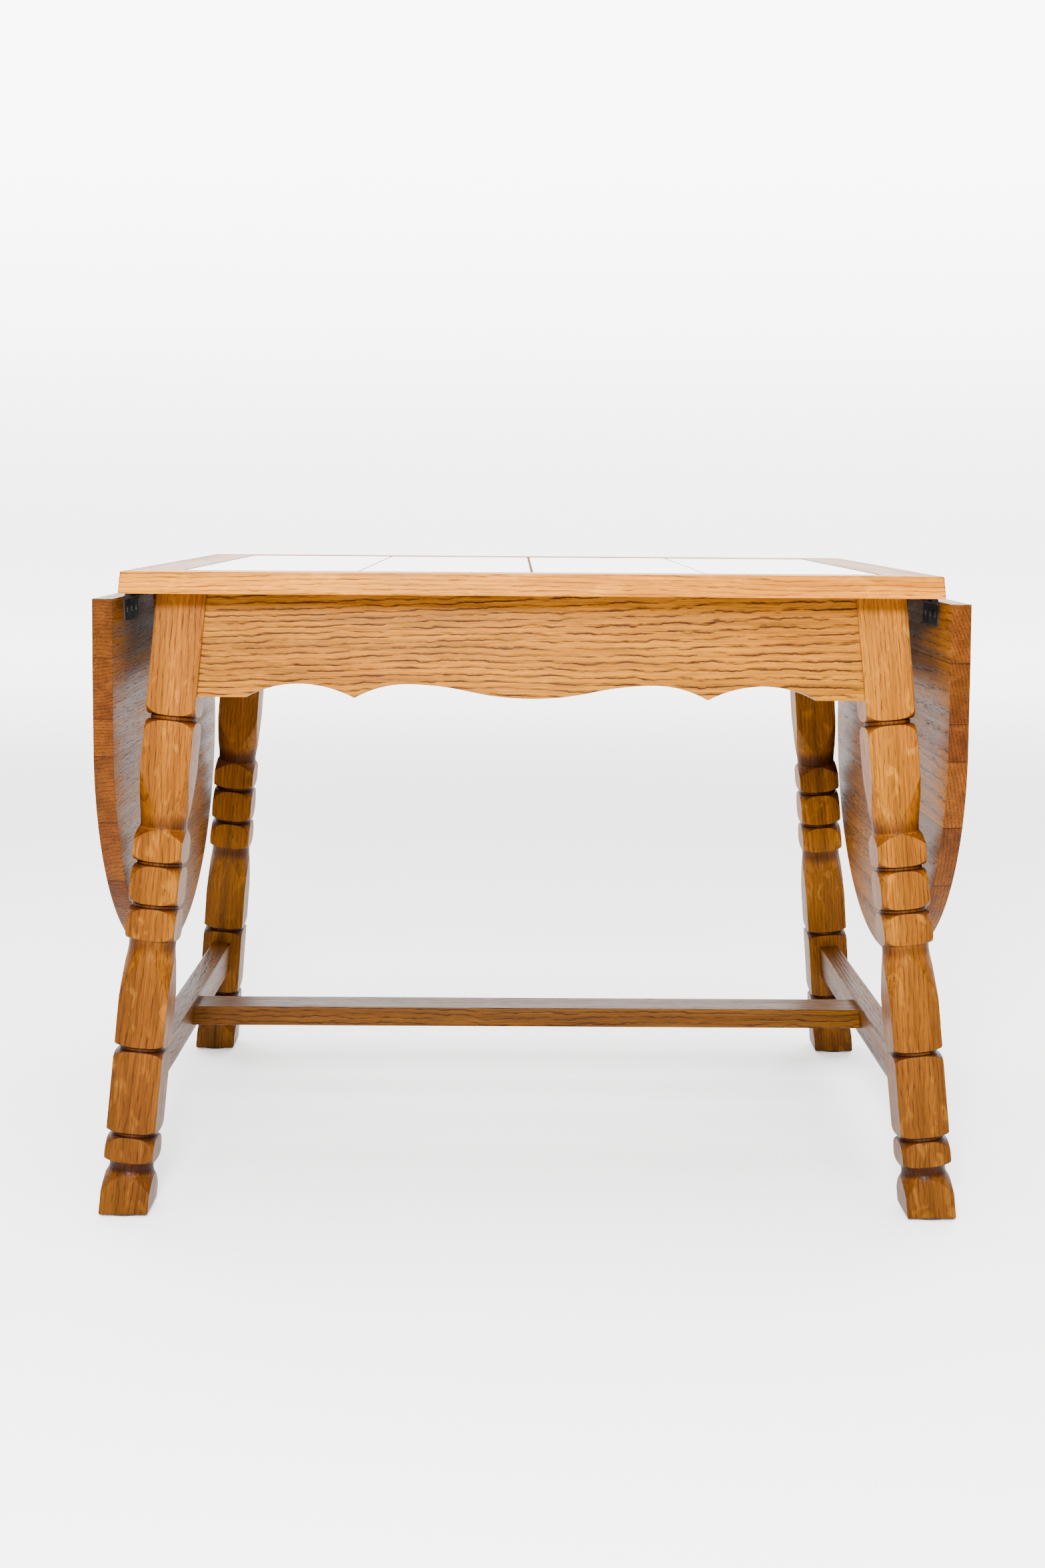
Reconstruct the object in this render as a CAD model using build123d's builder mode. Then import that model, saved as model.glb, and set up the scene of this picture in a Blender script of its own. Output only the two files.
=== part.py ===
from build123d import *
from math import atan, cos, degrees, radians, sin, sqrt, tan
import os

os.makedirs("parts", exist_ok=True)

# Drop leaf table of solid oak with a tiled top.
# Frame: millimetres, X along the table, Y towards the back, Z up, origin on the floor under the middle.

# --- driving dimensions: overall ---
table_width = 928.0  # along X, the fixed top with both leaves down
table_depth = 703.0  # along Y, the fixed top
table_height = 749.0
top_thickness = 25.0
edge_bevel = 2.6  # how much narrower a board's upper face is than its widest line
arris_round = 1.5

# --- tiled field ---
tile_columns = 4
tile_rows = 3
tile_joint = 3.0
side_rail_width = 64.0
end_rail_width = 51.5
tile_thickness = 8.0
tile_edge_round = 0.9
tile_drop = 0.5  # tile face below the rails' face
grout_drop = 1.5  # grout face below the rails' face
bed_thickness = 9.0
bed_rebate = 10.0  # how far the bed board runs into the rails

# --- legs ---
leg_square = 56.6
leg_splay = 5.6  # degrees, outwards in X and in Y
leg_inset_x = 62.5  # from the top's side edge to the leg's axis, at the top of the leg
leg_inset_y = 81.5
foot_edge_round = 4.0
pad_thickness = 2.0
pad_radius = 24.0

# --- aprons ---
apron_depth = 120.0
apron_thickness = 20.0
apron_setback = 4.0  # behind the leg's outer face
apron_arch = 16.0  # height of the cut-out arches above the lower edge
leg_below_apron = 27.0  # plain square leg under the apron's lower edge
tenon_thickness = 10.0
tenon_length = 22.0
tenon_shoulder = 16.0  # kept clear above and below a tenon

# --- stretchers ---
side_stretcher_width = 27.0
side_stretcher_height = 46.0
stretcher_height = 148.0  # of their middle above the floor, on the legs' turned pattern
cross_stretcher_depth = 55.0
cross_stretcher_height = 25.5
stretcher_edge_round = 1.5
stretcher_tenon_thickness = 12.0
stretcher_tenon_length = 20.0
stretcher_tenon_shoulder = 6.0
cross_tenon_length = 10.0

# --- leaves ---
leaf_thickness = 23.0
leaf_length = 471.0  # from the hinged edge to the outermost point
leaf_end_gain = 0.5  # how much longer than the top each end is at the hinged edge, in Y
leaf_bulge = 13.5  # how far each end stands past the top where the leaf is longest
leaf_bulge_at = 178.0  # how far from the hinged edge that is
leaf_end_bow = 1.0  # how much each end bows outwards between the two
leaf_drop = 6.0  # from the top's underside to the hanging leaf's upper edge

# --- hinges ---
hinge_length = 77.0
hinge_width = 29.0  # pin axis to a plate's outer edge
hinge_plate = 1.9
hinge_offset = 5.3  # pin axis to the wood that a plate lies on
hinge_reach = 1.1  # pin axis outside the top's edge
hinge_inset_y = 99.5  # from the top's end to the middle of a hinge
knuckle_radius = 3.8
knuckle_gap = 0.4
middle_knuckle = 31.0
hinge_pin_radius = 1.5
pin_clearance = 0.05
screw_pitch = 25.0
screw_from_axis = 16.7
screw_radius = 1.8
screw_head_radius = 3.4
screw_length = 15.0
screw_slot = 0.8

# --- lopers: the bars that draw out to carry a raised leaf ---
loper_width = 30.0
loper_height = 26.0
loper_length = 380.0
loper_centre_y = 153.0
loper_end_inset = 5.0  # its outer end inside the top's edge
loper_clearance = 0.5
loper_end_round = 7.0
loper_draw = 230.0  # how far it draws out under a raised leaf
guide_length = 60.0
guide_wall = 18.0
guide_floor = 12.0
stop_radius = 4.0
stop_rise = 6.0
stop_depth = 12.0

# --- corner blocks ---
block_leg = 62.0
block_height = 60.0
block_screw_radius = 2.5
block_screw_length = 50.0

# --- turned legs ---
# The turned pattern is given by heights up the leg. It was drawn for a top block that ends at
# pattern_height, and stretches with the height of the table, so that block keeps its own length.
pattern_height = 577.0

# --- worked out from the above ---
underside = table_height - top_thickness
pattern_stretch = (underside - apron_depth - leg_below_apron) / pattern_height
stretcher_level = stretcher_height * pattern_stretch
splay = radians(leg_splay)
axis_cosine = 1 / sqrt(1 + 2 * tan(splay) ** 2)  # of the leg's axis to the vertical
half_leg = leg_square / 2
leg_top_x = table_width / 2 - leg_inset_x
leg_top_y = table_depth / 2 - leg_inset_y
field_x = table_width - 2 * side_rail_width
field_y = table_depth - 2 * end_rail_width
tile_pitch_x = field_x / tile_columns
tile_pitch_y = field_y / tile_rows
tile_base = table_height - tile_drop - tile_thickness
bed_base = tile_base - bed_thickness
hinge_axis_x = table_width / 2 + hinge_reach
hinge_axis_z = underside - hinge_offset
hinge_centre_y = table_depth / 2 - hinge_inset_y
leaf_inner_x = hinge_axis_x + hinge_offset
leaf_top_z = underside - leaf_drop
loper_outer_x = table_width / 2 - loper_end_inset
loper_inner_x = loper_outer_x - loper_length
loper_top = underside - loper_clearance
loper_base = loper_top - loper_height
sides = (-1, 1)
side_names = {-1: "left", 1: "right"}
end_names = {-1: "front", 1: "back"}
corners = [(side_x, side_y) for side_x in sides for side_y in sides]


def keep(builder, name):
    """Label a finished piece and write it as parts/name.step."""
    builder.part.label = name
    export_step(builder.part, f"parts/{name}.step")


# ------------------------------------------------------------------ hinge screws


def hinge_plane(side, centre_y, on_leaf):
    """Plane across a hinge's pin: local x runs away along the plate, local y towards its wood."""
    origin = (side * hinge_axis_x, centre_y, hinge_axis_z)
    if on_leaf:
        return Plane(origin=origin, x_dir=(0, 0, -1), z_dir=(0, -side, 0))
    return Plane(origin=origin, x_dir=(-side, 0, 0), z_dir=(0, side, 0))


def hinge_screws(side, on_leaf, slotted):
    """The countersunk screws of the two plates on one side; without slots they cut their own holes."""
    with BuildPart() as screws:
        for centre_y in (-hinge_centre_y, hinge_centre_y):
            across = hinge_plane(side, centre_y, on_leaf)
            for along in (-screw_pitch, 0, screw_pitch):
                seat = across.from_local_coords(
                    Vector(screw_from_axis, hinge_offset - hinge_plate, along)
                )
                head = Plane(origin=seat, x_dir=across.z_dir, z_dir=across.y_dir)
                with BuildSketch(head):
                    Circle(screw_head_radius)
                with BuildSketch(head.offset(hinge_plate)):
                    Circle(screw_radius)
                loft()
                with BuildSketch(head.offset(hinge_plate)):
                    Circle(screw_radius)
                extrude(amount=screw_length - hinge_plate)
                if slotted:
                    with BuildSketch(head):
                        Rectangle(3 * screw_head_radius, screw_slot)
                    extrude(amount=screw_slot, mode=Mode.SUBTRACT)
    return screws


# ------------------------------------------------------------------ the top

bevel_angle = degrees(atan(edge_bevel / top_thickness))


def mitre_outline(side_x, side_y):
    """Outline, in plan, of the part of the top that one mitred rail takes."""
    inner_x = field_x / 2
    inner_y = field_y / 2
    far_x = inner_x + 2 * side_rail_width
    far_y = inner_y + 2 * end_rail_width
    if side_y:
        inner = [(-inner_x, side_y * inner_y), (inner_x, side_y * inner_y)]
        return inner + [(far_x, side_y * far_y), (-far_x, side_y * far_y)]
    inner = [(side_x * inner_x, -inner_y), (side_x * inner_x, inner_y)]
    return inner + [(side_x * far_x, far_y), (side_x * far_x, -far_y)]


def top_rail(name, side_x, side_y):
    """One mitred rail of the top: bevelled outside, grooved inside for the bed board."""
    screws = hinge_screws(side_x, False, False) if side_x else None
    with BuildPart() as rail:
        with BuildSketch(Plane.XY.offset(underside)):
            Rectangle(table_width, table_depth)
        extrude(amount=top_thickness, taper=bevel_angle)
        fillet(rail.faces().sort_by(Axis.Z)[-1].edges(), arris_round)
        fillet(rail.faces().sort_by(Axis.Z)[0].edges(), arris_round)
        with BuildSketch(Plane.XY.offset(underside)):
            Rectangle(field_x, field_y)
        extrude(amount=top_thickness, mode=Mode.SUBTRACT)
        with BuildSketch(Plane.XY.offset(bed_base)):
            Rectangle(field_x + 2 * bed_rebate, field_y + 2 * bed_rebate)
        extrude(amount=bed_thickness, mode=Mode.SUBTRACT)
        with BuildSketch(Plane.XY.offset(underside)):
            with BuildLine():
                Polyline(*mitre_outline(side_x, side_y), close=True)
            make_face()
        extrude(amount=top_thickness, mode=Mode.INTERSECT)
        if side_x:
            add(screws.part, mode=Mode.SUBTRACT)
    keep(rail, name)


for side in sides:
    top_rail(f"rail_{side_names[side]}", side, 0)
    top_rail(f"rail_{end_names[side]}", 0, side)

with BuildPart() as tile_bed:
    with BuildSketch(Plane.XY.offset(bed_base)):
        Rectangle(field_x + 2 * bed_rebate, field_y + 2 * bed_rebate)
    extrude(amount=bed_thickness)
keep(tile_bed, "tile_bed")

with BuildPart() as grout:
    with BuildSketch(Plane.XY.offset(tile_base)):
        Rectangle(field_x, field_y)
        with GridLocations(tile_pitch_x, tile_pitch_y, tile_columns, tile_rows):
            Rectangle(tile_pitch_x - tile_joint, tile_pitch_y - tile_joint, mode=Mode.SUBTRACT)
    extrude(amount=table_height - grout_drop - tile_base)
keep(grout, "grout")

for row in range(tile_rows):
    for column in range(tile_columns):
        tile_x = (column - (tile_columns - 1) / 2) * tile_pitch_x
        tile_y = (row - (tile_rows - 1) / 2) * tile_pitch_y
        with BuildPart() as tile:
            with BuildSketch(Plane((tile_x, tile_y, tile_base))):
                Rectangle(tile_pitch_x - tile_joint, tile_pitch_y - tile_joint)
            extrude(amount=tile_thickness)
            fillet(tile.faces().sort_by(Axis.Z)[-1].edges(), tile_edge_round)
        keep(tile, f"tile_row{row + 1}_col{column + 1}")

# ------------------------------------------------------------------ aprons and their tenons


def leg_plane(side_x, side_y):
    """Plane across a leg's axis at the top: z runs down the axis, x is level with the front's run."""
    down = Vector(side_x * tan(splay), side_y * tan(splay), -1).normalized()
    outwards = Vector(side_x, 0, 0) - down * (side_x * down.X)
    origin = (side_x * leg_top_x, side_y * leg_top_y, underside)
    return Plane(origin=origin, x_dir=outwards, z_dir=down)


def leg_inner_face(side_x, side_y, facing):
    """Plane of the leg's face that a rail butts against, its normal towards the rail."""
    across = leg_plane(side_x, side_y)
    normal = across.x_dir * -1
    if facing == "y":
        normal = across.y_dir if across.y_dir.Y * side_y < 0 else across.y_dir * -1
    return Plane(origin=across.origin + normal * half_leg, z_dir=normal)


def apron_plane(along, side):
    """Plane of an apron's outer face: x along the board, y up its slope from the top's underside."""
    leg_axis = leg_top_y if along == "x" else leg_top_x
    reach = side * (leg_axis + (half_leg - apron_setback) / cos(splay))
    if along == "x":
        normal = (0, side * cos(splay), sin(splay))
        return Plane(origin=(0, reach, underside), x_dir=(-side, 0, 0), z_dir=normal)
    normal = (side * cos(splay), 0, sin(splay))
    return Plane(origin=(reach, 0, underside), x_dir=(0, side, 0), z_dir=normal)


apron_half_span = {"x": leg_top_x - half_leg, "y": leg_top_y - half_leg}
apron_low = -apron_depth / cos(splay)
tenon_inset = (apron_thickness - tenon_thickness) / 2


def apron_tenons(along, side):
    """The bar whose two ends are an apron's tenons."""
    low = apron_low + tenon_shoulder
    high = -tenon_shoulder
    with BuildPart() as bar:
        with BuildSketch(apron_plane(along, side).offset(-tenon_inset)):
            with Locations((0, (low + high) / 2)):
                Rectangle(2 * (apron_half_span[along] + tenon_length), high - low)
        extrude(amount=-tenon_thickness)
    return bar


def apron(name, along, side, arches):
    """An apron board: two arches and a middle lobe along its lower edge, tenons at both ends."""
    flat_end, outer_crown, cusp, inner_crown = [share * apron_half_span[along] for share in arches]
    crown = apron_low + apron_arch
    reach = apron_half_span[along] + leg_square
    waist = (inner_crown / 2, crown - apron_arch / 2)  # where the middle lobe turns over
    bar = apron_tenons(along, side)
    notch_width = loper_width + 2 * loper_clearance
    notch_length = 8 * apron_thickness  # right through the leaning board
    with BuildPart() as board:
        with BuildSketch(apron_plane(along, side)):
            with BuildLine():
                Line((0, apron_thickness), (reach, apron_thickness))
                Line((reach, apron_thickness), (reach, apron_low))
                Line((reach, apron_low), (flat_end, apron_low))
                TangentArc((outer_crown, crown), (flat_end, apron_low), tangent=(1, 0))
                TangentArc((outer_crown, crown), (cusp, apron_low), tangent=(-1, 0))
                TangentArc((inner_crown, crown), (cusp, apron_low), tangent=(1, 0))
                TangentArc((inner_crown, crown), waist, tangent=(-1, 0))
                TangentArc((0, apron_low), waist, tangent=(1, 0))
                Line((0, apron_low), (0, apron_thickness))
            make_face()
            mirror(about=Plane.YZ)
        extrude(amount=-apron_thickness)
        split(bisect_by=Plane.XY.offset(underside), keep=Keep.BOTTOM)
        for end in sides:
            corner = (end, side) if along == "x" else (side, end)
            split(bisect_by=leg_inner_face(*corner, along), keep=Keep.TOP)
        add(bar.part)
        if along == "y":
            with BuildSketch(Plane.XY.offset(loper_base - loper_clearance)):
                with GridLocations(2 * leg_top_x, 2 * loper_centre_y, 2, 2):
                    Rectangle(notch_length, notch_width)
            extrude(amount=loper_height + apron_thickness, mode=Mode.SUBTRACT)
    keep(board, name)


# Shares of the half span, from the middle: end of the arches, outer crown, cusp, inner crown.
front_arches = (0.887, 0.7235, 0.548, 0.386)
side_arches = (0.83, 0.676, 0.515, 0.36)
for side in sides:
    apron(f"apron_{end_names[side]}", "x", side, front_arches)
    apron(f"apron_{side_names[side]}", "y", side, side_arches)

# ------------------------------------------------------------------ stretchers

stretcher_x = leg_top_x + (underside - stretcher_level) * tan(splay)
stretcher_shoulder = leg_top_y + (underside - stretcher_level) * tan(splay) - half_leg


def stretcher_plane(side):
    """Plane across a side stretcher at its middle: x towards the left, y up the slope of the legs."""
    origin = (side * stretcher_x, 0, stretcher_level)
    return Plane(origin=origin, x_dir=(-cos(splay), 0, -side * sin(splay)), z_dir=(0, 1, 0))


def side_stretcher_tenons(side):
    """The bar whose two ends are a side stretcher's tenons."""
    with BuildPart() as bar:
        with BuildSketch(stretcher_plane(side)):
            Rectangle(stretcher_tenon_thickness, side_stretcher_height - 2 * stretcher_tenon_shoulder)
        extrude(amount=stretcher_shoulder + stretcher_tenon_length, both=True)
    return bar


with BuildPart() as cross_tenons:
    with BuildSketch(Plane.YZ):
        with Locations((0, stretcher_level)):
            Rectangle(cross_stretcher_depth - 2 * stretcher_tenon_shoulder, stretcher_tenon_thickness)
    extrude(amount=stretcher_x - side_stretcher_width / 2 + cross_tenon_length, both=True)

for side in sides:
    tenons = side_stretcher_tenons(side)
    with BuildPart() as stretcher:
        with BuildSketch(stretcher_plane(side)):
            RectangleRounded(side_stretcher_width, side_stretcher_height, stretcher_edge_round)
        extrude(amount=stretcher_shoulder + leg_square, both=True)
        for end in sides:
            split(bisect_by=leg_inner_face(side, end, "y"), keep=Keep.TOP)
        add(tenons.part)
        add(cross_tenons.part, mode=Mode.SUBTRACT)
    keep(stretcher, f"stretcher_{side_names[side]}")

with BuildPart() as cross_stretcher:
    with BuildSketch(Plane.YZ):
        with Locations((0, stretcher_level)):
            RectangleRounded(cross_stretcher_depth, cross_stretcher_height, stretcher_edge_round)
    extrude(amount=stretcher_x, both=True)
    for side in sides:
        across = stretcher_plane(side)
        inwards = across.x_dir * side
        shoulder = Plane(origin=across.origin + inwards * (side_stretcher_width / 2), z_dir=inwards)
        split(bisect_by=shoulder, keep=Keep.TOP)
    add(cross_tenons.part)
keep(cross_stretcher, "cross_stretcher")

# ------------------------------------------------------------------ corner blocks

block_corner_x = apron_plane("y", 1).offset(-apron_thickness).origin.X
block_corner_y = apron_plane("x", 1).offset(-apron_thickness).origin.Y


def leg_blank(side_x, side_y):
    """The square blank of a leg, from above the top's underside to below the floor."""
    with BuildPart() as blank:
        with BuildSketch(leg_plane(side_x, side_y).offset(-leg_square)):
            Rectangle(leg_square, leg_square)
        extrude(amount=underside / axis_cosine + 2 * leg_square)
    return blank


def block_screw(side_x, side_y):
    """The screw through a corner block's long face into the corner of its leg."""
    middle = (block_leg + half_leg) / 2
    into = Vector(side_x, side_y, 0).normalized()
    start_x = side_x * (block_corner_x - middle)
    start_y = side_y * (block_corner_y - middle)
    start = (start_x, start_y, underside - block_height / 2)
    with BuildPart() as screw:
        with BuildSketch(Plane(origin=start, z_dir=into)):
            Circle(block_screw_radius)
        extrude(amount=block_screw_length)
    return screw


blanks = {corner: leg_blank(*corner) for corner in corners}
block_screws = {corner: block_screw(*corner) for corner in corners}

with BuildPart() as corner_blocks:
    for side_x, side_y in corners:
        wide = half_leg + block_leg
        with BuildSketch(Plane.XY.offset(underside - block_height)):
            with BuildLine():
                Polyline(
                    (side_x * (block_corner_x - wide), side_y * block_corner_y),
                    (side_x * block_corner_x, side_y * (block_corner_y - wide)),
                    (side_x * (block_corner_x + wide), side_y * block_corner_y),
                    close=True,
                )
            make_face()
        extrude(amount=block_height)
    for side in sides:
        for along in ("x", "y"):
            inner_face = apron_plane(along, side).offset(-apron_thickness)
            split(bisect_by=Plane(origin=inner_face.origin, z_dir=inner_face.z_dir * -1), keep=Keep.TOP)
    for corner in corners:
        add(blanks[corner].part, mode=Mode.SUBTRACT)
        add(block_screws[corner].part, mode=Mode.SUBTRACT)
keep(corner_blocks, "corner_blocks")

with BuildPart() as corner_block_screws:
    for corner in corners:
        add(block_screws[corner].part)
keep(corner_block_screws, "corner_block_screws")

# ------------------------------------------------------------------ turned legs

corner_radius = leg_square / sqrt(2) + 0.5  # leaves the square's corners sharp
bead_radius = 39.5
shoulder_radius = 27.5  # where a rounded end drops into a groove
groove_radius = 26.6
groove_nick = 0.8  # the fine line cut along each side of a groove's floor
waist_radius = 26.6
neck_radius = 27.1
cove_radius = 25.6
inscribed_radius = 28.3  # where a turned face meets the middle of the leg's flat


def down(height):
    """Distance down a leg's axis, from the top's underside, of a height of the pattern."""
    return (underside - height * pattern_stretch) / axis_cosine


def rounded_end(low_radius, low_height, high_radius, high_height):
    """Quarter ellipse, square to the axis at its smaller radius and along it at its larger one."""
    low = down(low_height)
    high = down(high_height)
    start = -90 if low < high else 0
    EllipticalCenterArc((low_radius, high), high_radius - low_radius, abs(high - low), start, arc_size=90)


def groove(top_height, bottom_height):
    """A flat-floored groove with a nick along each side."""
    top = down(top_height)
    bottom = down(bottom_height)
    Polyline(
        (shoulder_radius, top),
        (groove_radius - groove_nick, top + groove_nick),
        (groove_radius, top + 2 * groove_nick),
        (groove_radius, bottom - 2 * groove_nick),
        (groove_radius - groove_nick, bottom - groove_nick),
        (shoulder_radius, bottom),
    )


def plain(radius, top_height, bottom_height):
    """A plain length of the profile, along the axis."""
    Line((radius, down(top_height)), (radius, down(bottom_height)))


def turned_profile(start, end):
    """Half outline of the turning, from the axis outwards, between two distances down the axis."""
    Polyline((0, start), (corner_radius, start), (corner_radius, down(596)))
    rounded_end(shoulder_radius, 580, corner_radius, 596)
    groove(580, 574)
    rounded_end(shoulder_radius, 574, corner_radius, 556)
    plain(corner_radius, 556, 517)
    Spline(
        (corner_radius, down(517)),
        (33.0, down(490)),
        (inscribed_radius, down(469)),
        (waist_radius, down(453)),
    )
    plain(waist_radius, 453, 451)
    Polyline((waist_radius, down(451)), (inscribed_radius, down(448)), (bead_radius, down(436)))
    plain(bead_radius, 436, 422)
    rounded_end(shoulder_radius, 411, bead_radius, 422)
    groove(411, 405.8)
    rounded_end(shoulder_radius, 405.8, bead_radius, 380)
    plain(bead_radius, 380, 376)
    rounded_end(shoulder_radius, 361.7, bead_radius, 376)
    groove(361.7, 356.6)
    rounded_end(shoulder_radius, 356.6, bead_radius, 333)
    plain(bead_radius, 333, 331)
    rounded_end(shoulder_radius, 320, bead_radius, 331)
    Spline(
        (shoulder_radius, down(320)),
        (neck_radius, down(316)),
        (inscribed_radius, down(300.6)),
        (31.9, down(282.7)),
        (corner_radius, down(252)),
    )
    plain(corner_radius, 252, 204)
    rounded_end(shoulder_radius, 195.7, corner_radius, 204)
    groove(195.7, 190.4)
    rounded_end(shoulder_radius, 190.4, corner_radius, 181)
    plain(corner_radius, 181, 104)
    rounded_end(shoulder_radius, 95.5, corner_radius, 104)
    groove(95.5, 90.3)
    rounded_end(shoulder_radius, 90.3, bead_radius, 71.5)
    plain(bead_radius, 71.5, 69)
    rounded_end(neck_radius, 61, bead_radius, 69)
    ThreePointArc((neck_radius, down(61)), (cove_radius, down(53)), (inscribed_radius, down(46)))
    Line((inscribed_radius, down(46)), (corner_radius, down(26)))
    Polyline((corner_radius, down(26)), (corner_radius, end), (0, end), (0, start))


def turned_leg(name, side_x, side_y):
    """A square leg turned between its blocks, mortised for its rails, level at both ends."""
    across = leg_plane(side_x, side_y)
    lengthwise = Plane(origin=across.origin, x_dir=across.x_dir, z_dir=across.y_dir * -1)
    bars = [apron_tenons("x", side_y), apron_tenons("y", side_x), side_stretcher_tenons(side_x)]
    with BuildPart() as leg:
        with BuildSketch(lengthwise):
            with BuildLine():
                turned_profile(-leg_square, underside / axis_cosine + leg_square)
            make_face()
        revolve(axis=Axis(across.origin, across.z_dir))
        add(blanks[side_x, side_y].part, mode=Mode.INTERSECT)
        split(bisect_by=Plane.XY.offset(underside), keep=Keep.BOTTOM)
        split(bisect_by=Plane.XY.offset(pad_thickness), keep=Keep.TOP)
        fillet(leg.faces().sort_by(Axis.Z)[0].edges(), foot_edge_round)
        for bar in bars:
            add(bar.part, mode=Mode.SUBTRACT)
        add(block_screws[side_x, side_y].part, mode=Mode.SUBTRACT)
    keep(leg, name)


for side_x, side_y in corners:
    turned_leg(f"leg_{end_names[side_y]}_{side_names[side_x]}", side_x, side_y)

foot_x = leg_top_x + underside * tan(splay)
foot_y = leg_top_y + underside * tan(splay)
with BuildPart() as foot_pads:
    with BuildSketch(Plane.XY):
        with GridLocations(2 * foot_x, 2 * foot_y, 2, 2):
            Circle(pad_radius)
    extrude(amount=pad_thickness)
keep(foot_pads, "foot_pads")

# ------------------------------------------------------------------ leaves


def leaf_outline(inset):
    """Outline of a leaf in Y and Z, made smaller all round by inset except at its hinged edge."""
    half_top = table_depth / 2 + leaf_end_gain - inset
    half_wide = table_depth / 2 + leaf_bulge - inset
    wide_z = leaf_top_z - leaf_bulge_at
    waist = ((half_top + half_wide) / 2 + leaf_end_bow, (leaf_top_z + wide_z) / 2)
    Line((-half_top, leaf_top_z), (half_top, leaf_top_z))
    ThreePointArc((half_top, leaf_top_z), waist, (half_wide, wide_z))
    EllipticalCenterArc((0, wide_z), half_wide, leaf_length - leaf_bulge_at - inset, 180, arc_size=180)
    ThreePointArc((-half_wide, wide_z), (-waist[0], waist[1]), (-half_top, leaf_top_z))


for side in sides:
    screws = hinge_screws(side, True, False)
    with BuildPart() as leaf:
        for depth, inset in ((0, 0), (side * leaf_thickness, edge_bevel)):
            with BuildSketch(Plane.YZ.offset(side * leaf_inner_x + depth)):
                with BuildLine():
                    leaf_outline(inset)
                make_face()
        loft(ruled=True)
        add(screws.part, mode=Mode.SUBTRACT)
    keep(leaf, f"leaf_{side_names[side]}")

# ------------------------------------------------------------------ hinges

knuckle_notch = knuckle_radius + knuckle_gap  # a plate's edge keeps this far from the other's knuckles
outer_spans = (
    (-hinge_length / 2, -middle_knuckle / 2 - knuckle_gap),
    (middle_knuckle / 2 + knuckle_gap, hinge_length / 2),
)
middle_span = ((-middle_knuckle / 2, middle_knuckle / 2),)


def hinge_half(name, across, spans, bore_radius, screws):
    """One plate of a hinge with its knuckles, countersunk for its screws."""
    with BuildPart() as half:
        with BuildSketch(across):
            with Locations(((hinge_width + knuckle_notch) / 2, hinge_offset - hinge_plate / 2)):
                Rectangle(hinge_width - knuckle_notch, hinge_plate)
        extrude(amount=hinge_length / 2, both=True)
        for low, high in spans:
            with BuildSketch(across.offset(low)):
                Circle(knuckle_radius)
                with Locations((knuckle_radius / 2, hinge_offset / 2)):
                    Rectangle(knuckle_radius, hinge_offset)
                with Locations((knuckle_notch / 2, hinge_offset - hinge_plate / 2)):
                    Rectangle(knuckle_notch, hinge_plate)
                Circle(bore_radius, mode=Mode.SUBTRACT)
            extrude(amount=high - low)
        add(screws.part, mode=Mode.SUBTRACT)
    keep(half, name)


leaf_bore_radius = hinge_pin_radius + pin_clearance
for side in sides:
    table_screws = hinge_screws(side, False, False)
    leaf_screws = hinge_screws(side, True, False)
    for end in sides:
        place = f"{end_names[end]}_{side_names[side]}"
        fixed = hinge_plane(side, end * hinge_centre_y, False)
        moving = hinge_plane(side, end * hinge_centre_y, True)
        hinge_half(f"hinge_table_{place}", fixed, outer_spans, hinge_pin_radius, table_screws)
        hinge_half(f"hinge_leaf_{place}", moving, middle_span, leaf_bore_radius, leaf_screws)
        with BuildPart() as pin:
            with BuildSketch(fixed):
                Circle(hinge_pin_radius)
            extrude(amount=hinge_length / 2, both=True)
        keep(pin, f"hinge_pin_{place}")

for side in sides:
    keep(hinge_screws(side, True, True), f"leaf_{side_names[side]}_screws")

table_side_screws = [hinge_screws(side, False, True) for side in sides]
with BuildPart() as hinge_table_screws:
    for screws in table_side_screws:
        add(screws.part)
keep(hinge_table_screws, "hinge_table_screws")

# ------------------------------------------------------------------ lopers

stop_x = field_x / 2 - loper_draw - stop_radius  # meets the rail's inner lip when fully drawn out


def loper_stop(side, end):
    """The dowel that stands up from a loper and stops it at the inner edge of the rail."""
    centre = (side * stop_x, end * loper_centre_y, loper_top - stop_depth)
    with BuildPart() as stop:
        with BuildSketch(Plane(centre)):
            Circle(stop_radius)
        extrude(amount=stop_depth + stop_rise)
    return stop


for side in sides:
    for end in sides:
        place = f"{end_names[end]}_{side_names[side]}"
        stop = loper_stop(side, end)
        with BuildPart() as loper:
            with BuildSketch(Plane.YZ.offset(side * loper_inner_x)):
                with Locations((end * loper_centre_y, (loper_top + loper_base) / 2)):
                    Rectangle(loper_width, loper_height)
            extrude(amount=side * loper_length)
            outer_face = loper.faces().sort_by(Axis.X)[0 if side < 0 else -1]
            fillet(outer_face.edges().sort_by(Axis.Z)[0], loper_end_round)
            add(stop.part, mode=Mode.SUBTRACT)
        keep(loper, f"loper_{place}")
        keep(stop, f"loper_stop_{place}")

guide_x = loper_inner_x + loper_draw + guide_length / 2
guide_slot = loper_width + 2 * loper_clearance
guide_base = loper_base - loper_clearance - guide_floor
with BuildPart() as loper_guides:
    with BuildSketch(Plane.XY.offset(guide_base)):
        with GridLocations(2 * guide_x, 2 * loper_centre_y, 2, 2):
            Rectangle(guide_length, guide_slot + 2 * guide_wall)
    extrude(amount=bed_base - guide_base)
    with BuildSketch(Plane.XY.offset(guide_base + guide_floor)):
        with GridLocations(2 * guide_x, 2 * loper_centre_y, 2, 2):
            Rectangle(guide_length, guide_slot)
    extrude(amount=bed_base - guide_base, mode=Mode.SUBTRACT)
keep(loper_guides, "loper_guides")
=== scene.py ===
from math import cos, pi, radians, sin, tan

import bpy
from mathutils import Matrix, Vector


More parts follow.
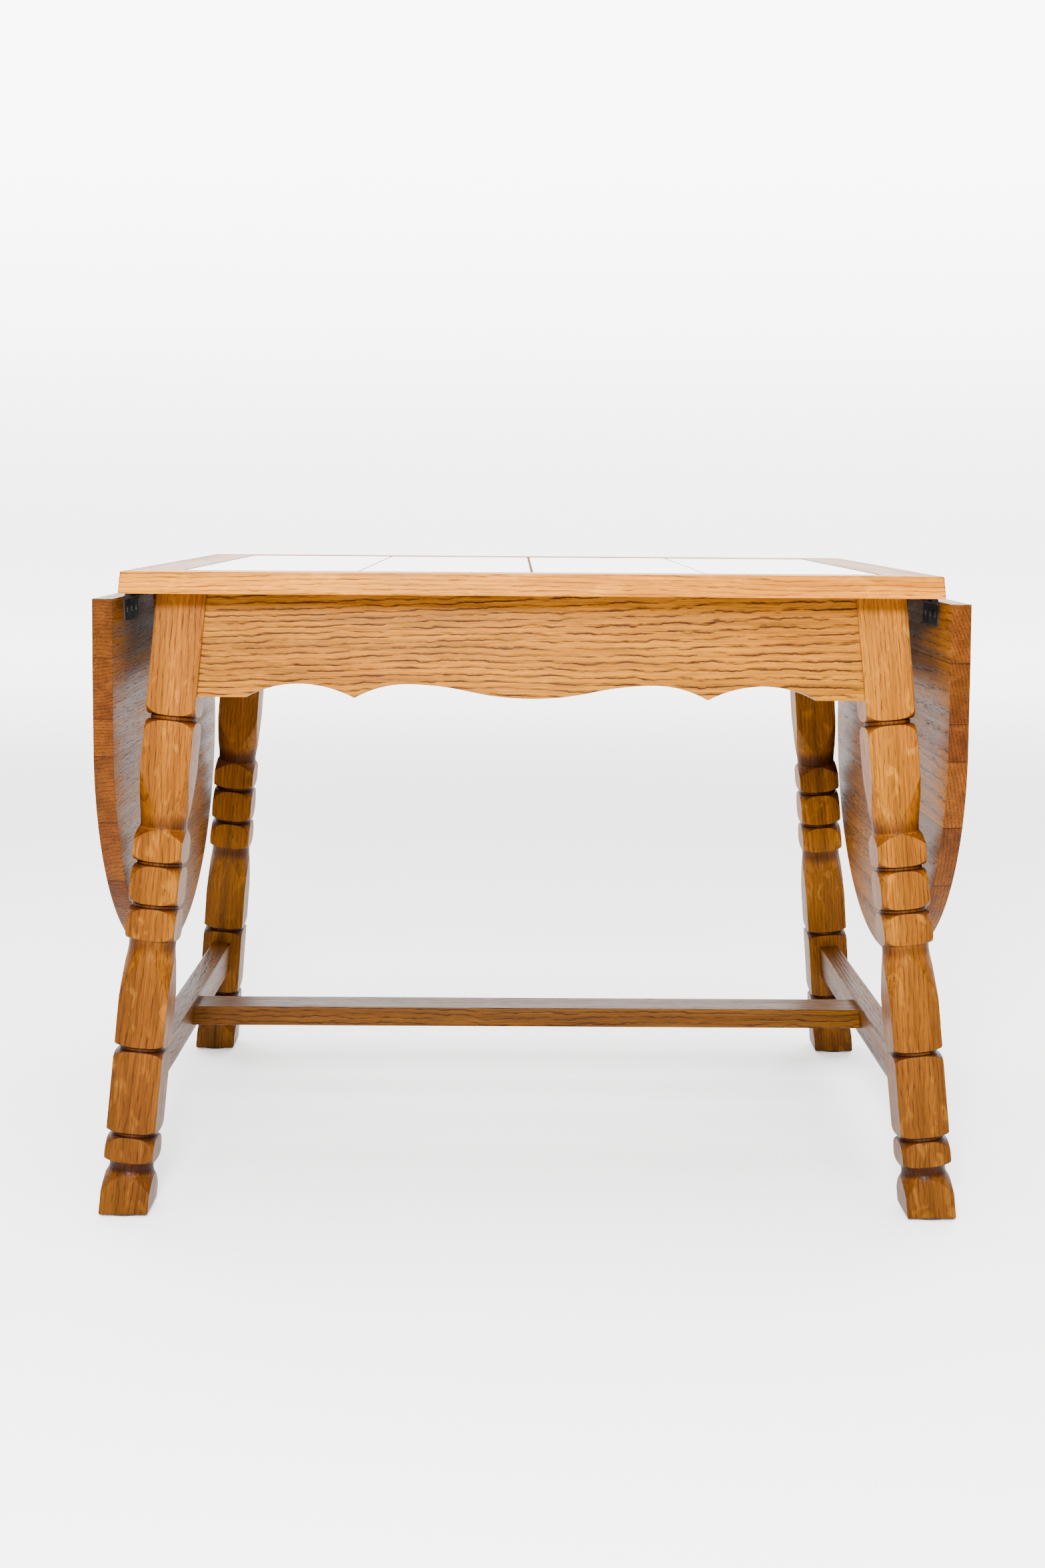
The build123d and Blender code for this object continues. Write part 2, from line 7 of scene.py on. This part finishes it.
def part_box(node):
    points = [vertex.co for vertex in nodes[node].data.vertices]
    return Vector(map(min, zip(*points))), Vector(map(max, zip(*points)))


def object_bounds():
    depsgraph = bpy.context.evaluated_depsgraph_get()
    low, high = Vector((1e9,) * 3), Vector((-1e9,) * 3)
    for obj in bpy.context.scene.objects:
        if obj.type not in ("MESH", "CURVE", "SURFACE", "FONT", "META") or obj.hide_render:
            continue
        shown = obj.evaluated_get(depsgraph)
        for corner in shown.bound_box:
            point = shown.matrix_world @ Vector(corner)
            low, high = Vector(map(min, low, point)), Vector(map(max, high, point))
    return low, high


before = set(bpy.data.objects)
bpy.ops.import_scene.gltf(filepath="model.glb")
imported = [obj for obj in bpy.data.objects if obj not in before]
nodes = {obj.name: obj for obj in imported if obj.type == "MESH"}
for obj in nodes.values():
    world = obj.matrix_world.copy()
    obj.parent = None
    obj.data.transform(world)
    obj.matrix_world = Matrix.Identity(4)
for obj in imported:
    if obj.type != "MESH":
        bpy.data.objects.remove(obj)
table_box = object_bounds()
low = Vector(table_box[0])
high = Vector(table_box[1])


# ------------------------------------------------------------------ camera

camera_place = Vector((-0.0215, -2.4697, 0.8292))
camera_pitch = 0.1488  # radians, looking down
camera_yaw = 0.0056  # radians, towards +X
camera_roll = 0.0071  # radians, anticlockwise from behind
camera_lens = 43.29  # millimetres on a 36 mm sensor, along the picture's height

ahead = Vector(
    (sin(camera_yaw) * cos(camera_pitch), cos(camera_yaw) * cos(camera_pitch), -sin(camera_pitch))
)
level = Vector((cos(camera_yaw), -sin(camera_yaw), 0))
upright = level.cross(ahead)
right = level * cos(camera_roll) + upright * sin(camera_roll)
up = upright * cos(camera_roll) - level * sin(camera_roll)

camera_data = bpy.data.cameras.new("camera")
camera_data.lens = camera_lens
camera_data.sensor_fit = "VERTICAL"
camera_data.sensor_height = 36
camera = bpy.data.objects.new("camera", camera_data)
camera.matrix_world = Matrix(
    (
        (right.x, up.x, -ahead.x, camera_place.x),
        (right.y, up.y, -ahead.y, camera_place.y),
        (right.z, up.z, -ahead.z, camera_place.z),
        (0, 0, 0, 1),
    )
)
bpy.context.scene.collection.objects.link(camera)
bpy.context.scene.camera = camera


# ------------------------------------------------------------------ node helpers


def add_node(tree, kind, inputs=None, **settings):
    """A new shader node, with its settings and its inputs linked or set."""
    made = tree.nodes.new(kind)
    for key, value in settings.items():
        setattr(made, key, value)
    for key, value in (inputs or {}).items():
        if isinstance(value, bpy.types.NodeSocket):
            tree.links.new(value, made.inputs[key])
        else:
            made.inputs[key].default_value = value
    return made


def maths(tree, operation, first, second=0.0, third=0.0):
    """The result of one Math node."""
    inputs = {0: first, 1: second, 2: third}
    return add_node(tree, "ShaderNodeMath", inputs, operation=operation).outputs[0]


def vector_maths(tree, operation, first, second=(0, 0, 0)):
    """The vector result of one Vector Math node."""
    inputs = {0: first, 1: second}
    return add_node(tree, "ShaderNodeVectorMath", inputs, operation=operation).outputs[0]


def dot(tree, first, second):
    """The dot product of two vectors."""
    made = add_node(tree, "ShaderNodeVectorMath", {0: first, 1: second}, operation="DOT_PRODUCT")
    return made.outputs["Value"]


def length(tree, vector):
    """The length of a vector."""
    made = add_node(tree, "ShaderNodeVectorMath", {0: vector}, operation="LENGTH")
    return made.outputs["Value"]


def plus(tree, first, second):
    """The sum of two values."""
    return maths(tree, "ADD", first, second)


def times(tree, first, second):
    """The product of two values."""
    return maths(tree, "MULTIPLY", first, second)


def noise(tree, vector, scale, detail=2.0, roughness=0.5, distortion=0.0):
    """The grey output of a Noise node on a vector stretched by scale."""
    stretched = vector_maths(tree, "MULTIPLY", vector, scale)
    inputs = {
        "Vector": stretched, "Scale": 1.0, "Detail": detail,
        "Roughness": roughness, "Distortion": distortion,
    }
    return add_node(tree, "ShaderNodeTexNoise", inputs).outputs[0]


def between(tree, value, start, end, to_start=0.0, to_end=1.0):
    """A value carried smoothly from one range to another, and held at its ends."""
    inputs = {"Value": value, "From Min": start, "From Max": end, "To Min": to_start, "To Max": to_end}
    made = add_node(tree, "ShaderNodeMapRange", inputs, interpolation_type="SMOOTHSTEP")
    return made.outputs["Result"]


def mix(tree, share, first, second, blend="MIX"):
    """Two colours mixed by a share."""
    made = tree.nodes.new("ShaderNodeMix")
    made.data_type = "RGBA"
    made.blend_type = blend
    for socket, value in ((made.inputs[0], share), (made.inputs[6], first), (made.inputs[7], second)):
        if isinstance(value, bpy.types.NodeSocket):
            tree.links.new(value, socket)
        elif socket.type == "RGBA":
            socket.default_value = (*value, 1.0)
        else:
            socket.default_value = value
    return made.outputs[2]


def new_material(name):
    """An empty node material with its Principled shader and its output."""
    material = bpy.data.materials.new(name)
    material.use_nodes = True
    tree = material.node_tree
    tree.nodes.clear()
    shader = tree.nodes.new("ShaderNodeBsdfPrincipled")
    output = tree.nodes.new("ShaderNodeOutputMaterial")
    tree.links.new(shader.outputs[0], output.inputs["Surface"])
    return material, tree, shader


def eased_normal(tree, radius):
    """A shading normal that rounds sharp edges by a radius in metres."""
    return add_node(tree, "ShaderNodeBevel", {"Radius": radius}, samples=4).outputs[0]


def bump(tree, shader, height, distance, strength=1.0, edge=0.0):
    """A bump on a shader, over edges eased by edge."""
    inputs = {"Height": height, "Distance": distance, "Strength": strength}
    if edge:
        inputs["Normal"] = eased_normal(tree, edge)
    made = add_node(tree, "ShaderNodeBump", inputs)
    tree.links.new(made.outputs[0], shader.inputs["Normal"])


# ------------------------------------------------------------------ oak

oak_light = (0.245, 0.088, 0.002)
oak_mid = (0.165, 0.052, 0.002)
oak_ring = (0.020, 0.005, 0.001)
oak_pore = (0.020, 0.005, 0.001)
oak_fleck = (0.34, 0.135, 0.008)
oak_end = (0.48, 0.39, 0.60)  # end grain takes up more stain: its colour is multiplied by this
oak_recess_shade = (0.22, 0.15, 0.12)  # painted shade: the floors of turned recesses are multiplied by this, for the shadow that falls in them
lacquer_coat = 0.025
lacquer_roughness = 0.22
lacquer_gloss = 0.045  # a thin satin lacquer: it shines at a slant and hardly from in front

# metres
heart_drift = 0.075  # how far the heart of the log wanders over a whole piece
heart_wander = 0.011  # and over a hand's breadth
board_shift = 0.14  # how far apart the hearts of a panel's boards lie
glue_line = (0.0012, 0.0002)  # half widths where a glued joint starts to show and is darkest
recess_edge = (0.0004, 0.0022)  # outside and inside a turned piece's radius: where the painted recess shade sets in, is full
grain_depth = 0.0005

board_offset = 7.3  # along the grain, so that no two boards share a figure
pore_share = 0.7
joint_share = 0.7


def grey(tree, value):
    """A grey colour from a value."""
    return add_node(tree, "ShaderNodeCombineColor", {0: value, 1: value, 2: value}).outputs[0]


def shade(tree, colour, value):
    """A colour made lighter or darker by a value."""
    return mix(tree, 1.0, colour, grey(tree, value), "MULTIPLY")


def stain(tree, share, colour, stained):
    """A colour carried by a share towards itself times another."""
    return mix(tree, share, colour, mix(tree, 1.0, colour, stained, "MULTIPLY"))


def board_numbers(tree, place, boards, seed):
    """A value between 0 and 1 for each of a panel's glued boards, and a thin mark at their joints."""
    direction, edges = boards
    span = edges[-1] - edges[0]
    along = dot(tree, place, direction)
    inputs = {"Value": along, "From Min": edges[0], "From Max": edges[-1]}
    share = add_node(tree, "ShaderNodeMapRange", inputs).outputs["Result"]
    ramp = add_node(tree, "ShaderNodeValToRGB", {0: share})
    ramp.color_ramp.interpolation = "CONSTANT"
    stops = ramp.color_ramp.elements
    joint = 0.0
    for count, edge in enumerate(edges[:-1]):
        stop = stops[count] if count < 2 else stops.new(1.0)
        stop.position = (edge - edges[0]) / span
        value = (count * 0.618 + seed * 0.37) % 1.0
        stop.color = (value, value, value, 1)
        if count:
            apart = maths(tree, "ABSOLUTE", maths(tree, "SUBTRACT", along, edge))
            joint = maths(tree, "MAXIMUM", joint, between(tree, apart, *glue_line))
    return ramp.outputs[0], joint


def oak(
    name, grain, across, tone=(1, 1, 1), seed=0.0, pith=(0.03, 0.16), pitch=0.0055,
    strokes=0.6, flecks=0.4, boards=None, axis=None, ease=0.0012, painted_falloff=None,
):
    """Lacquered oak. grain and across are unit vectors: along the fibres, and across the broad face.

    pith is how far the heart of the log lies from the table's middle, across and through the board.
    boards is (direction, edges in metres) of glued boards, each with its own figure.
    axis is (point, direction, radius) of a turned piece, whose recesses get painted shade: a darker colour
    where shadow falls in them.
    fade is (low z, high z, share): the colour falls to that share towards the floor. It stands for
    light that is weaker near the floor, and stays in the wood whatever the light.
    """
    material, tree, shader = new_material(name)
    grain = Vector(grain).normalized()
    across = Vector(across).normalized()
    coordinates = tree.nodes.new("ShaderNodeTexCoord")
    place = coordinates.outputs["Object"]
    normal = coordinates.outputs["Normal"]
    board, joint = board_numbers(tree, place, boards, seed) if boards else (0.0, 0.0)

    # the wood's own coordinates: along the fibres, across the face, through the board
    own_place = maths(tree, "MULTIPLY_ADD", board, board_offset, seed * 1.7)
    along = plus(tree, dot(tree, place, grain), own_place)
    wide = dot(tree, place, across)
    deep = dot(tree, place, grain.cross(across))
    wood = add_node(tree, "ShaderNodeCombineXYZ", {0: along, 1: wide, 2: deep}).outputs[0]

    # yearly rings round a wandering heart
    drift = times(tree, noise(tree, wood, (1.6, 4.0, 4.0), 1.0), heart_drift)
    wander = times(tree, noise(tree, wood, (26.0, 30.0, 30.0), 3.0, 0.6), heart_wander)
    heart = maths(tree, "MULTIPLY_ADD", board, board_shift, pith[0])
    ring_wide = plus(tree, plus(tree, wide, plus(tree, drift, wander)), heart)
    ring_deep = plus(tree, deep, pith[1])
    square = plus(tree, times(tree, ring_wide, ring_wide), times(tree, ring_deep, ring_deep))
    ring = maths(tree, "FRACT", maths(tree, "DIVIDE", maths(tree, "SQRT", square), pitch))
    early = maths(tree, "MAXIMUM", between(tree, ring, 0.40, 0.0), between(tree, ring, 0.90, 1.0))
    broken = between(tree, noise(tree, wood, (16.0, 420.0, 420.0), 3.0, 0.65), 0.36, 0.56)
    stroke = times(tree, early, broken)

    # fibres, pores and rays
    fibre = noise(tree, wood, (14.0, 620.0, 620.0), 3.0, 0.62)
    band = noise(tree, wood, (2.6, 70.0, 70.0), 2.0, 0.5)
    pore = between(tree, noise(tree, wood, (45.0, 800.0, 800.0), 2.0, 0.55), 0.52, 0.66)
    pore = times(tree, pore, maths(tree, "MULTIPLY_ADD", early, 0.7, 0.3))
    ray = between(tree, noise(tree, wood, (34.0, 70.0, 70.0), 2.0, 0.5, 0.6), 0.56, 0.70)
    broad = between(tree, noise(tree, wood, (1.3, 10.0, 10.0), 3.0, 0.55), 0.32, 0.68)

    colour = mix(tree, broad, oak_light, oak_mid)
    colour = shade(tree, colour, between(tree, band, 0.25, 0.75, 0.74, 1.22))
    colour = mix(tree, times(tree, stroke, strokes), colour, oak_ring)
    colour = mix(tree, times(tree, ray, flecks), colour, oak_fleck)
    colour = shade(tree, colour, between(tree, fibre, 0.25, 0.75, 0.68, 1.26))
    colour = mix(tree, times(tree, pore, pore_share), colour, oak_pore)
    if boards:
        colour = shade(tree, colour, between(tree, board, 0.0, 1.0, 0.85, 1.10))
        colour = mix(tree, times(tree, joint, joint_share), colour, oak_pore)
    colour = mix(tree, 1.0, colour, tone, "MULTIPLY")
    if painted_falloff:
        height = add_node(tree, "ShaderNodeSeparateXYZ", {0: place}).outputs[2]
        colour = shade(tree, colour, between(tree, height, *painted_falloff, 1.0))

    facing = maths(tree, "ABSOLUTE", dot(tree, normal, grain))
    colour = stain(tree, between(tree, facing, 0.22, 0.95), colour, oak_end)
    if axis:
        point, direction, radius = axis
        from_axis = vector_maths(tree, "SUBTRACT", place, point)
        beside = vector_maths(tree, "CROSS_PRODUCT", from_axis, Vector(direction).normalized())
        outside, inside = recess_edge
        edge = (radius + outside, radius - inside)
        # painted shade: the colour darkens inside the turned radius, where shadow falls in the recesses
        recess = between(tree, length(tree, beside), *edge, 0.0, 0.95)
        colour = stain(tree, recess, colour, oak_recess_shade)

    tree.links.new(colour, shader.inputs["Base Color"])
    rough = maths(tree, "MULTIPLY_ADD", pore, 0.22, between(tree, band, 0.3, 0.7, 0.36, 0.46))
    tree.links.new(rough, shader.inputs["Roughness"])
    shader.inputs["Specular IOR Level"].default_value = lacquer_gloss
    shader.inputs["Coat Weight"].default_value = lacquer_coat
    shader.inputs["Coat Roughness"].default_value = lacquer_roughness
    hollow = maths(tree, "MAXIMUM", pore, times(tree, stroke, 0.6))
    relief = maths(tree, "MULTIPLY_ADD", fibre, 0.30, times(tree, hollow, -1.0))
    bump(tree, shader, relief, grain_depth, 0.8, ease)
    return material


def give(node, material):
    """Put one material in every slot of a CAD node."""
    for slot in nodes[node].material_slots:
        slot.material = material


# ------------------------------------------------------------------ legs

splay = radians(5.6)
leg_side = 0.0566
foot_half = leg_side / 2 / cos(splay)
ends = (("front", -1), ("back", 1))
flanks = (("left", -1), ("right", 1))
# painted shade: heights, and the share the legs' colour falls to towards the floor, for light that is
# weaker there
leg_painted_falloff = (0.0, 0.66, 0.42)
# painted light: the right legs get a lighter tone than the left, for light falling more from the right
leg_tones_with_painted_light = {"left": (0.84, 0.76, 0.7), "right": (0.98, 0.93, 0.8)}
# painted shade: the back legs' tone is darkened by this share, for the weaker light that reaches them
back_leg_painted_shade = 0.85

for end, end_sign in ends:
    for side, side_sign in flanks:
        node = f"leg_{end}_{side}"
        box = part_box(node)
        foot_x = max(abs(box[0][0]), abs(box[1][0])) - foot_half
        foot_y = max(abs(box[0][1]), abs(box[1][1])) - foot_half
        drop = Vector((side_sign * tan(splay), end_sign * tan(splay), -1)).normalized()
        foot = (side_sign * foot_x, end_sign * foot_y, box[0][2])
        face_across = Vector((1, 0, 0)) - drop * drop.x
        tone = leg_tones_with_painted_light[side]
        if end == "back":
            tone = tuple(back_leg_painted_shade * value for value in tone)
        seed = 3.1 + 1.9 * side_sign + 0.7 * end_sign
        leg_oak = oak(
            node, drop, face_across, tone, seed, pith=(0.05, 0.09), pitch=0.0046, strokes=0.34,
            flecks=0.5, axis=(foot, drop, leg_side / 2), ease=0.0026, painted_falloff=leg_painted_falloff,
        )
        give(node, leg_oak)

# ------------------------------------------------------------------ aprons and stretchers

along_x = (1, 0, 0)
along_y = (0, 1, 0)
along_z = (0, 0, 1)
lean = sin(splay)
rise = cos(splay)


def oak_piece(name, grain, across, tone, seed, **figure):
    """Give a CAD node an oak of its own."""
    give(name, oak(name, grain, across, tone, seed, **figure))


for end, sign in ends:
    oak_piece(
        f"apron_{end}", along_x, (0, -sign * lean, rise), (0.96, 0.94, 0.8), 5.0 + sign,
        pith=(-0.20, 0.13), pitch=0.0050, strokes=1.0, flecks=0.2,
    )
for side, sign in flanks:
    upwards = (-sign * lean, 0, rise)
    oak_piece(
        f"apron_{side}", along_y, upwards, (0.9, 0.88, 0.88), 7.5 + sign,
        pith=(-0.58, 0.45), pitch=0.0058, strokes=0.8,
    )
    # darker tone: partly darker wood, partly painted shade low between the legs where light is weak
    oak_piece(
        f"stretcher_{side}", along_y, upwards, (0.32, 0.31, 0.7), 9.0 + sign,
        pith=(-0.06, 0.40), pitch=0.005, strokes=0.6, flecks=0.1,
    )
# darker tone: partly darker wood, partly painted shade low between the legs where light is weak
oak_piece(
    "cross_stretcher", along_x, along_y, (0.32, 0.32, 0.9), 12.0,
    pith=(0.05, -0.10), pitch=0.005, strokes=0.7, flecks=0.1,
)

# ------------------------------------------------------------------ top and leaves

for end, sign in ends:
    # painted light: the front and back rails get a much lighter tone than the other oak, for light falling
    # on the top
    oak_piece(
        f"rail_{end}", along_x, along_y, (1.9, 1.8, 0.5), 14.0 + sign,
        pith=(0.40, -0.62), pitch=0.0044, strokes=0.45, flecks=0.2,
    )
for side, sign in flanks:
    oak_piece(
        f"rail_{side}", along_y, along_x, (1.1, 1.1, 1.1), 17.0 + sign,
        pith=(-sign * 0.36, -0.66), pitch=0.005, strokes=0.5, flecks=0.2,
    )

# The edges of a leaf's glued boards, as shares of its length from its outer end.
leaf_shares = (0.0, 0.16, 0.30, 0.46, 0.625, 0.715, 0.86, 1.0)
leaf_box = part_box("leaf_left")
leaf_low = leaf_box[0][2]
leaf_span = leaf_box[1][2] - leaf_low
leaf_boards = (along_z, [leaf_low + share * leaf_span for share in leaf_shares])
plain_tone = (0.9, 0.9, 0.9)
for side, sign in flanks:
    # painted shade: the leaves get a darker tone than the other oak, for the shade on their hanging inner
    # faces
    oak_piece(
        f"leaf_{side}", along_y, along_z, (0.66, 0.62, 0.8), 21.0 + sign,
        pith=(-0.48, 0.47), pitch=0.0042, strokes=0.55, flecks=0.35, boards=leaf_boards,
    )
    for end, end_sign in ends:
        bar = f"{end}_{side}"
        bar_seed = 30.0 + sign + end_sign / 2
        oak_piece(f"loper_{bar}", along_x, along_y, (0.8, 0.78, 0.8), bar_seed, pith=(0.15, -0.65))
        oak_piece(f"loper_stop_{bar}", along_z, along_x, plain_tone, 33.0, pith=(-0.16, 0.16))
oak_piece("corner_blocks", (1, -1, 0), along_z, plain_tone, 36.0, pith=(-0.69, 0.4))
oak_piece("loper_guides", along_x, along_y, plain_tone, 38.0, pith=(0.15, -0.65))

# ------------------------------------------------------------------ bed board


def plywood():
    """Bare plywood: pale, faintly streaked."""
    material, tree, shader = new_material("plywood")
    place = tree.nodes.new("ShaderNodeTexCoord").outputs["Object"]
    streak = noise(tree, place, (6.0, 160.0, 160.0), 4.0, 0.6)
    figure = noise(tree, place, (1.5, 14.0, 14.0), 2.0, 0.5, 1.2)
    colour = mix(tree, between(tree, figure, 0.3, 0.7), (0.50, 0.34, 0.19), (0.40, 0.25, 0.13))
    colour = mix(tree, between(tree, streak, 0.45, 0.75, 0.0, 0.4), colour, (0.24, 0.13, 0.06))
    tree.links.new(colour, shader.inputs["Base Color"])
    shader.inputs["Roughness"].default_value = 0.75
    bump(tree, shader, streak, 0.0003, 0.5)
    return material


give("tile_bed", plywood())

# ------------------------------------------------------------------ tiles and grout


def glaze(name, seed):
    """White glaze over a faintly uneven body."""
    material, tree, shader = new_material(name)
    place = tree.nodes.new("ShaderNodeTexCoord").outputs["Object"]
    place = vector_maths(tree, "ADD", place, (seed * 0.71, seed * 0.37, 0))
    cloud = noise(tree, place, (14.0, 14.0, 14.0), 4.0, 0.6)
    speck = noise(tree, place, (900.0, 900.0, 900.0), 2.0, 0.5)
    wave = noise(tree, place, (22.0, 22.0, 22.0), 2.0, 0.45)
    base = 0.80 + 0.025 * sin(seed * 2.4)
    light = (base * 0.94, base * 0.91, base * 1.04)
    dull = (base * 0.89, base * 0.86, base * 1.0)
    colour = mix(tree, between(tree, cloud, 0.3, 0.7), light, dull)
    colour = mix(tree, between(tree, speck, 0.66, 0.74, 0.0, 0.25), colour, (0.55, 0.52, 0.52))
    tree.links.new(colour, shader.inputs["Base Color"])
    tree.links.new(between(tree, cloud, 0.3, 0.7, 0.16, 0.26), shader.inputs["Roughness"])
    shader.inputs["Coat Weight"].default_value = 0.5
    shader.inputs["Coat Roughness"].default_value = 0.08
    bump(tree, shader, wave, 0.0012, 0.35, 0.0008)
    return material


tile_names = sorted(name for name in nodes if name.startswith("tile_row"))
for count, name in enumerate(tile_names):
    give(name, glaze(name, count + 1.0))


def grout():
    """Sandy dark brown grout, darker where it has taken up dirt."""
    material, tree, shader = new_material("grout")
    place = tree.nodes.new("ShaderNodeTexCoord").outputs["Object"]
    sand = noise(tree, place, (1400.0, 1400.0, 1400.0), 3.0, 0.6)
    stain = noise(tree, place, (26.0, 26.0, 26.0), 3.0, 0.6)
    colour = mix(tree, between(tree, stain, 0.35, 0.7), (0.070, 0.042, 0.022), (0.035, 0.020, 0.011))
    colour = mix(tree, between(tree, sand, 0.3, 0.7, 0.0, 0.3), colour, (0.14, 0.09, 0.05))
    tree.links.new(colour, shader.inputs["Base Color"])
    shader.inputs["Roughness"].default_value = 0.95
    shader.inputs["Specular IOR Level"].default_value = 0.1
    bump(tree, shader, sand, 0.0004, 0.6)
    return material


give("grout", grout())

# ------------------------------------------------------------------ steel and felt


def steel(name, colour, worn, roughness):
    """Dark steel, rubbed brighter in patches."""
    material, tree, shader = new_material(name)
    place = tree.nodes.new("ShaderNodeTexCoord").outputs["Object"]
    patch = noise(tree, place, (120.0, 120.0, 120.0), 4.0, 0.65)
    grit = noise(tree, place, (2200.0, 2200.0, 2200.0), 2.0, 0.5)
    tree.links.new(mix(tree, between(tree, patch, 0.5, 0.75), colour, worn), shader.inputs["Base Color"])
    shader.inputs["Metallic"].default_value = 0.85
    tree.links.new(between(tree, patch, 0.3, 0.7, roughness, roughness + 0.18), shader.inputs["Roughness"])
    bump(tree, shader, grit, 0.0002, 0.4, 0.0004)
    return material


hinge_steel = steel("hinge_steel", (0.012, 0.011, 0.010), (0.04, 0.034, 0.03), 0.5)
screw_steel = steel("screw_steel", (0.10, 0.085, 0.07), (0.24, 0.21, 0.17), 0.28)
for name in nodes:
    if name.startswith(("hinge_leaf", "hinge_table", "hinge_pin")):
        give(name, hinge_steel)
for name in ("hinge_table_screws", "leaf_left_screws", "leaf_right_screws", "corner_block_screws"):
    give(name, screw_steel)


def felt():
    """Dark pressed felt."""
    material, tree, shader = new_material("felt")
    place = tree.nodes.new("ShaderNodeTexCoord").outputs["Object"]
    fuzz = noise(tree, place, (1500.0, 1500.0, 700.0), 4.0, 0.7)
    tree.links.new(mix(tree, fuzz, (0.02, 0.015, 0.012), (0.10, 0.08, 0.065)), shader.inputs["Base Color"])
    shader.inputs["Roughness"].default_value = 0.95
    shader.inputs["Sheen Weight"].default_value = 0.3
    bump(tree, shader, fuzz, 0.0008, 0.8)
    return material


give("foot_pads", felt())

# ------------------------------------------------------------------ studio


floor_half_width = 24.0
floor_front = -40.0
backdrop_behind = 12.0  # farther than any camera that looks at the table from behind
backdrop_top = 14.0
backdrop_bend = 4.0
bend_steps = 24
floor_glow = (2.2, 7.0, 0.35, 3.1)  # distances from the table, and the glow at each
backdrop_glow = (0.3, 3.6, 0.0, 4.0)  # heights, and the glow added at each


def studio_paper():
    """White studio paper that glows more with distance from the table and up the backdrop."""
    material, tree, shader = new_material("studio_paper")
    place = tree.nodes.new("ShaderNodeTexCoord").outputs["Object"]
    height = add_node(tree, "ShaderNodeSeparateXYZ", {0: place}).outputs[2]
    shader.inputs["Base Color"].default_value = (0.82, 0.82, 0.82, 1)
    shader.inputs["Roughness"].default_value = 0.9
    shader.inputs["Specular IOR Level"].default_value = 0.1
    shader.inputs["Emission Color"].default_value = (1, 1, 1, 1)
    afar = between(tree, length(tree, place), *floor_glow)
    glow = plus(tree, afar, between(tree, height, *backdrop_glow))
    tree.links.new(glow, shader.inputs["Emission Strength"])
    return material


def studio_floor():
    """A floor that turns up into a backdrop behind the table."""
    wall_y = high.y + backdrop_behind
    line = [(floor_front, 0.0)]
    for step in range(bend_steps + 1):
        angle = step / bend_steps * pi / 2
        y = wall_y - backdrop_bend + backdrop_bend * sin(angle)
        line.append((y, backdrop_bend - backdrop_bend * cos(angle)))
    line.append((wall_y, backdrop_top))
    points = [(x, y, z) for x in (-floor_half_width, floor_half_width) for y, z in line]
    count = len(line)
    faces = [(i, i + count, i + count + 1, i + 1) for i in range(count - 1)]
    mesh = bpy.data.meshes.new("studio_floor")
    mesh.from_pydata(points, [], faces)
    for face in mesh.polygons:
        face.use_smooth = True
    floor = bpy.data.objects.new("studio_floor", mesh)
    bpy.context.scene.collection.objects.link(floor)
    mesh.materials.append(studio_paper())


studio_floor()


def softbox(name, place, target, size, power):
    """A rectangular studio light that faces a point."""
    data = bpy.data.lights.new(name, "AREA")
    data.shape = "RECTANGLE"
    data.size, data.size_y = size
    data.energy = power
    lamp = bpy.data.objects.new(name, data)
    lamp.location = place
    lamp.rotation_euler = (Vector(target) - Vector(place)).to_track_quat("-Z", "Y").to_euler()
    bpy.context.scene.collection.objects.link(lamp)


middle = (low + high) / 2
softbox("key", (-0.25, -2.9, 1.65), (0, -0.35, 0.7), (0.5, 0.45), 290)
softbox("overhead", (0.0, 0.2, 3.6), middle, (4.5, 4.0), 430)
softbox("floor_fill", (0.0, -3.4, 3.4), (0.0, -1.4, 0.0), (3.0, 1.5), 240)

world = bpy.data.worlds.new("studio_air")
world.use_nodes = True
air = world.node_tree.nodes["Background"]
air.inputs["Color"].default_value = (1, 1, 1, 1)
air.inputs["Strength"].default_value = 0.35
bpy.context.scene.world = world
